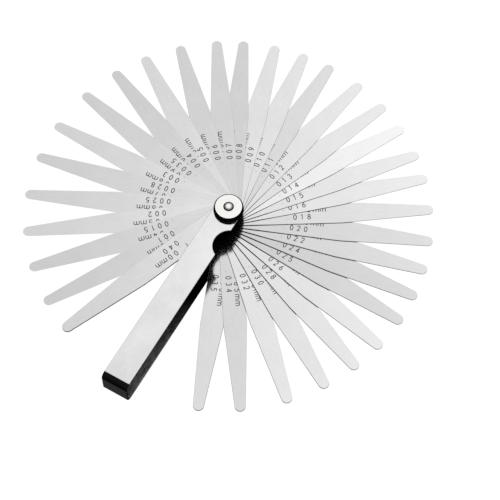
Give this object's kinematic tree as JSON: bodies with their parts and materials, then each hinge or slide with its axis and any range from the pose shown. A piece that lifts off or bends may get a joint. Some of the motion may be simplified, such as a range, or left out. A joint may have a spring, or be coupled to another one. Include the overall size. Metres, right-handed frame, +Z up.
{
  "type": "feeler gauge",
  "caption": "Feeler gauge: stepped steel thickness blades fanned round one pivot screw with a thumb nut, in a folded open-sided steel case.",
  "frame": {"origin": "on the pivot axis, at the flat underside of the pivot screw's head", "axes": "+Z up the pivot from the screw's head to the thumb nut, -Y along the case towards its closed end"},
  "size_m": [0.1886, 0.1935, 0.0194],
  "materials": {
    "case_steel": "smooth satin sheet with light handling marks",
    "blade_steel": "fine ground and polished spring steel, numbers etched dark grey",
    "screw_steel": "turned, polished end",
    "washer_steel": "plain bright",
    "nut_steel": "face-turned bright, fine straight knurl round the side"
  },
  "bodies": {
    "case": {"case": "case_steel", "pivot_screw": "screw_steel"},
    "nut_washer": {"nut_washer": "washer_steel"},
    "thumb_nut": {"thumb_nut": "nut_steel"},
    "blade_40_thou": {"blade_40_thou": "blade_steel"},
    "blade_1_thou": {"blade_1_thou": "blade_steel"},
    "blade_1_5_thou": {"blade_1_5_thou": "blade_steel"},
    "blade_2_thou": {"blade_2_thou": "blade_steel"},
    "blade_2_5_thou": {"blade_2_5_thou": "blade_steel"},
    "blade_2_8_thou": {"blade_2_8_thou": "blade_steel"},
    "blade_3_thou": {"blade_3_thou": "blade_steel"},
    "blade_3_5_thou": {"blade_3_5_thou": "blade_steel"},
    "blade_4_thou": {"blade_4_thou": "blade_steel"},
    "blade_5_thou": {"blade_5_thou": "blade_steel"},
    "blade_6_thou": {"blade_6_thou": "blade_steel"},
    "blade_7_thou": {"blade_7_thou": "blade_steel"},
    "blade_8_thou": {"blade_8_thou": "blade_steel"},
    "blade_9_thou": {"blade_9_thou": "blade_steel"},
    "blade_10_thou": {"blade_10_thou": "blade_steel"},
    "blade_11_thou": {"blade_11_thou": "blade_steel"},
    "blade_12_thou": {"blade_12_thou": "blade_steel"},
    "blade_13_thou": {"blade_13_thou": "blade_steel"},
    "blade_14_thou": {"blade_14_thou": "blade_steel"},
    "blade_15_thou": {"blade_15_thou": "blade_steel"},
    "blade_16_thou": {"blade_16_thou": "blade_steel"},
    "blade_18_thou": {"blade_18_thou": "blade_steel"},
    "blade_20_thou": {"blade_20_thou": "blade_steel"},
    "blade_22_thou": {"blade_22_thou": "blade_steel"},
    "blade_24_thou": {"blade_24_thou": "blade_steel"},
    "blade_25_thou": {"blade_25_thou": "blade_steel"},
    "blade_26_thou": {"blade_26_thou": "blade_steel"},
    "blade_28_thou": {"blade_28_thou": "blade_steel"},
    "blade_30_thou": {"blade_30_thou": "blade_steel"},
    "blade_32_thou": {"blade_32_thou": "blade_steel"},
    "blade_34_thou": {"blade_34_thou": "blade_steel"},
    "blade_35_thou": {"blade_35_thou": "blade_steel"}
  },
  "joints": [
    {"name": "washer_lift", "type": "slide", "parent": "case", "child": "nut_washer", "axis": [0, 0, 1], "range_m": [0, 0.0008]},
    {"name": "nut_turn", "type": "hinge", "parent": "nut_washer", "child": "thumb_nut", "pos_m": [0, 0, 0], "axis": [0, 0, 1], "range_deg": [0, 360]},
    {"name": "swing_40_thou", "type": "hinge", "parent": "case", "child": "blade_40_thou", "pos_m": [0, 0, 0], "axis": [0, 0, 1], "range_deg": [-339.5, 20.5]},
    {"name": "swing_1_thou", "type": "hinge", "parent": "case", "child": "blade_1_thou", "pos_m": [0, 0, 0], "axis": [0, 0, 1], "range_deg": [-329.5, 30.5]},
    {"name": "swing_1_5_thou", "type": "hinge", "parent": "case", "child": "blade_1_5_thou", "pos_m": [0, 0, 0], "axis": [0, 0, 1], "range_deg": [-318, 42]},
    {"name": "swing_2_thou", "type": "hinge", "parent": "case", "child": "blade_2_thou", "pos_m": [0, 0, 0], "axis": [0, 0, 1], "range_deg": [-306.5, 53.5]},
    {"name": "swing_2_5_thou", "type": "hinge", "parent": "case", "child": "blade_2_5_thou", "pos_m": [0, 0, 0], "axis": [0, 0, 1], "range_deg": [-294.5, 65.5]},
    {"name": "swing_2_8_thou", "type": "hinge", "parent": "case", "child": "blade_2_8_thou", "pos_m": [0, 0, 0], "axis": [0, 0, 1], "range_deg": [-282, 78]},
    {"name": "swing_3_thou", "type": "hinge", "parent": "case", "child": "blade_3_thou", "pos_m": [0, 0, 0], "axis": [0, 0, 1], "range_deg": [-270.5, 89.5]},
    {"name": "swing_3_5_thou", "type": "hinge", "parent": "case", "child": "blade_3_5_thou", "pos_m": [0, 0, 0], "axis": [0, 0, 1], "range_deg": [-257.5, 102.5]},
    {"name": "swing_4_thou", "type": "hinge", "parent": "case", "child": "blade_4_thou", "pos_m": [0, 0, 0], "axis": [0, 0, 1], "range_deg": [-246, 114]},
    {"name": "swing_5_thou", "type": "hinge", "parent": "case", "child": "blade_5_thou", "pos_m": [0, 0, 0], "axis": [0, 0, 1], "range_deg": [-236, 124]},
    {"name": "swing_6_thou", "type": "hinge", "parent": "case", "child": "blade_6_thou", "pos_m": [0, 0, 0], "axis": [0, 0, 1], "range_deg": [-225, 135]},
    {"name": "swing_7_thou", "type": "hinge", "parent": "case", "child": "blade_7_thou", "pos_m": [0, 0, 0], "axis": [0, 0, 1], "range_deg": [-214, 146]},
    {"name": "swing_8_thou", "type": "hinge", "parent": "case", "child": "blade_8_thou", "pos_m": [0, 0, 0], "axis": [0, 0, 1], "range_deg": [-206, 154]},
    {"name": "swing_9_thou", "type": "hinge", "parent": "case", "child": "blade_9_thou", "pos_m": [0, 0, 0], "axis": [0, 0, 1], "range_deg": [-196.5, 163.5]},
    {"name": "swing_10_thou", "type": "hinge", "parent": "case", "child": "blade_10_thou", "pos_m": [0, 0, 0], "axis": [0, 0, 1], "range_deg": [-187.5, 172.5]},
    {"name": "swing_11_thou", "type": "hinge", "parent": "case", "child": "blade_11_thou", "pos_m": [0, 0, 0], "axis": [0, 0, 1], "range_deg": [-179, 181]},
    {"name": "swing_12_thou", "type": "hinge", "parent": "case", "child": "blade_12_thou", "pos_m": [0, 0, 0], "axis": [0, 0, 1], "range_deg": [-168.5, 191.5]},
    {"name": "swing_13_thou", "type": "hinge", "parent": "case", "child": "blade_13_thou", "pos_m": [0, 0, 0], "axis": [0, 0, 1], "range_deg": [-158.5, 201.5]},
    {"name": "swing_14_thou", "type": "hinge", "parent": "case", "child": "blade_14_thou", "pos_m": [0, 0, 0], "axis": [0, 0, 1], "range_deg": [-149.5, 210.5]},
    {"name": "swing_15_thou", "type": "hinge", "parent": "case", "child": "blade_15_thou", "pos_m": [0, 0, 0], "axis": [0, 0, 1], "range_deg": [-140, 220]},
    {"name": "swing_16_thou", "type": "hinge", "parent": "case", "child": "blade_16_thou", "pos_m": [0, 0, 0], "axis": [0, 0, 1], "range_deg": [-132, 228]},
    {"name": "swing_18_thou", "type": "hinge", "parent": "case", "child": "blade_18_thou", "pos_m": [0, 0, 0], "axis": [0, 0, 1], "range_deg": [-122, 238]},
    {"name": "swing_20_thou", "type": "hinge", "parent": "case", "child": "blade_20_thou", "pos_m": [0, 0, 0], "axis": [0, 0, 1], "range_deg": [-112, 248]},
    {"name": "swing_22_thou", "type": "hinge", "parent": "case", "child": "blade_22_thou", "pos_m": [0, 0, 0], "axis": [0, 0, 1], "range_deg": [-103, 257]},
    {"name": "swing_24_thou", "type": "hinge", "parent": "case", "child": "blade_24_thou", "pos_m": [0, 0, 0], "axis": [0, 0, 1], "range_deg": [-94.5, 265.5]},
    {"name": "swing_25_thou", "type": "hinge", "parent": "case", "child": "blade_25_thou", "pos_m": [0, 0, 0], "axis": [0, 0, 1], "range_deg": [-86, 274]},
    {"name": "swing_26_thou", "type": "hinge", "parent": "case", "child": "blade_26_thou", "pos_m": [0, 0, 0], "axis": [0, 0, 1], "range_deg": [-76.5, 283.5]},
    {"name": "swing_28_thou", "type": "hinge", "parent": "case", "child": "blade_28_thou", "pos_m": [0, 0, 0], "axis": [0, 0, 1], "range_deg": [-67.5, 292.5]},
    {"name": "swing_30_thou", "type": "hinge", "parent": "case", "child": "blade_30_thou", "pos_m": [0, 0, 0], "axis": [0, 0, 1], "range_deg": [-57.5, 302.5]},
    {"name": "swing_32_thou", "type": "hinge", "parent": "case", "child": "blade_32_thou", "pos_m": [0, 0, 0], "axis": [0, 0, 1], "range_deg": [-46.5, 313.5]},
    {"name": "swing_34_thou", "type": "hinge", "parent": "case", "child": "blade_34_thou", "pos_m": [0, 0, 0], "axis": [0, 0, 1], "range_deg": [-33.5, 326.5]},
    {"name": "swing_35_thou", "type": "hinge", "parent": "case", "child": "blade_35_thou", "pos_m": [0, 0, 0], "axis": [0, 0, 1], "range_deg": [-22, 338]}
  ],
  "couplings": [
    {"joint": "nut_turn", "follows": "washer_lift", "rad_per_m": 7853}
  ]
}
